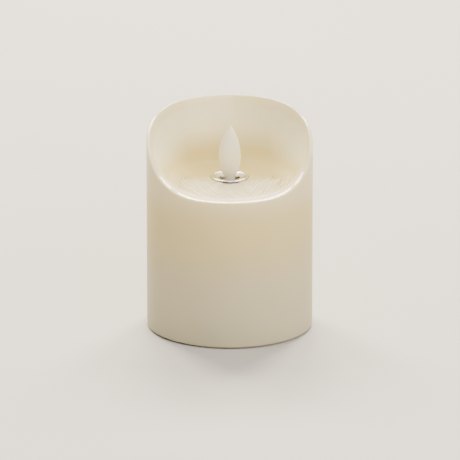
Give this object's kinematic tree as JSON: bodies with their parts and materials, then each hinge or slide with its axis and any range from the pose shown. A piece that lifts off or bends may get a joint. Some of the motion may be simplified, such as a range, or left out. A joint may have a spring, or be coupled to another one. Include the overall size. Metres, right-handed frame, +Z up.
{
  "type": "flameless led candle",
  "caption": "Ivory LED pillar candle with a scooped S-curved rim, a swinging flame in a chrome cup, a hinged battery door, a slide switch and rubber feet.",
  "frame": {"origin": "on the table, under the middle of the pillar", "axes": "+Z up, the low lip of the rim towards -Y, +X to the right as seen from the lip's side"},
  "size_m": [0.075, 0.075, 0.098],
  "materials": {
    "wax": "glossy ivory paraffin wax",
    "chrome_cup": "bright plated",
    "wire_steel": "drawn wire",
    "flame_plastic": "matte translucent cream",
    "arm_plastic": "moulded natural",
    "magnet": "nickel plated",
    "housing_plastic": "moulded off-white",
    "base_plastic": "moulded ivory, fine grain",
    "screw_steel": "zinc plated",
    "led_lens": "clear warm-white epoxy lens",
    "wire_plastic": "red and white insulation",
    "wire_red_plastic": "red insulation",
    "wire_black_plastic": "black insulation",
    "switch_wire_plastic": "yellow insulation",
    "board": "green solder mask",
    "chip_resin": "black resin blob",
    "component_black": "moulded epoxy",
    "capacitor_sleeve": "dark blue sleeve",
    "crystal_can": "bright can",
    "resistor_body": "tan lacquer with bands",
    "bobbin_plastic": "moulded nylon",
    "copper": "enamelled copper",
    "foot_rubber": "translucent grey",
    "cell_can": "plain printed sleeve with bright ends",
    "contact_plate": "nickel plated strip",
    "spring_steel": "nickel plated spring wire",
    "switch_metal": "stamped tin plate",
    "switch_plastic": "moulded black"
  },
  "bodies": {
    "candle": {"wax_shell": "wax", "flame_cup": "chrome_cup", "pivot_wire": "wire_steel", "housing_front": "housing_plastic", "housing_rear": "housing_plastic", "column_screws": "screw_steel", "housing_screws": "screw_steel", "flame_led": "led_lens", "led_wires": "wire_plastic", "control_board": "board", "control_chip": "chip_resin", "drive_transistors": "component_black", "board_capacitor": "capacitor_sleeve", "timer_crystal": "crystal_can", "board_resistors": "resistor_body", "board_screws": "screw_steel", "coil_bobbin": "bobbin_plastic", "drive_coil": "copper", "coil_leads": "copper", "base_chassis": "base_plastic", "base_cover": "base_plastic", "base_screws": "screw_steel", "rubber_feet": "foot_rubber", "battery_front": "cell_can", "battery_middle": "cell_can", "battery_rear": "cell_can", "positive_terminal": "contact_plate", "left_bridge_plate": "contact_plate", "right_bridge_plate": "contact_plate", "negative_terminal": "contact_plate", "contact_springs": "spring_steel", "wire_red": "wire_red_plastic", "wire_black": "wire_black_plastic", "switch_wires": "switch_wire_plastic", "switch_frame": "switch_metal", "switch_body": "switch_plastic", "switch_screws": "screw_steel"},
    "flame": {"flame_paddle": "flame_plastic", "flame_arm": "arm_plastic", "drive_magnet": "magnet"},
    "door": {"battery_door": "base_plastic"},
    "knob": {"switch_knob": "switch_plastic"}
  },
  "joints": [
    {"name": "flame_swing", "type": "hinge", "parent": "candle", "child": "flame", "pos_m": [0, 0, 0.0651], "axis": [0, 1, 0], "range_deg": [-10, 10]},
    {"name": "door_hinge", "type": "hinge", "parent": "candle", "child": "door", "pos_m": [0.024, 0, 0.0022], "axis": [0, -1, 0], "range_deg": [0, 100]},
    {"name": "switch_slide", "type": "slide", "parent": "candle", "child": "knob", "axis": [1, 0, 0], "range_m": [-0.002, 0.002]}
  ]
}
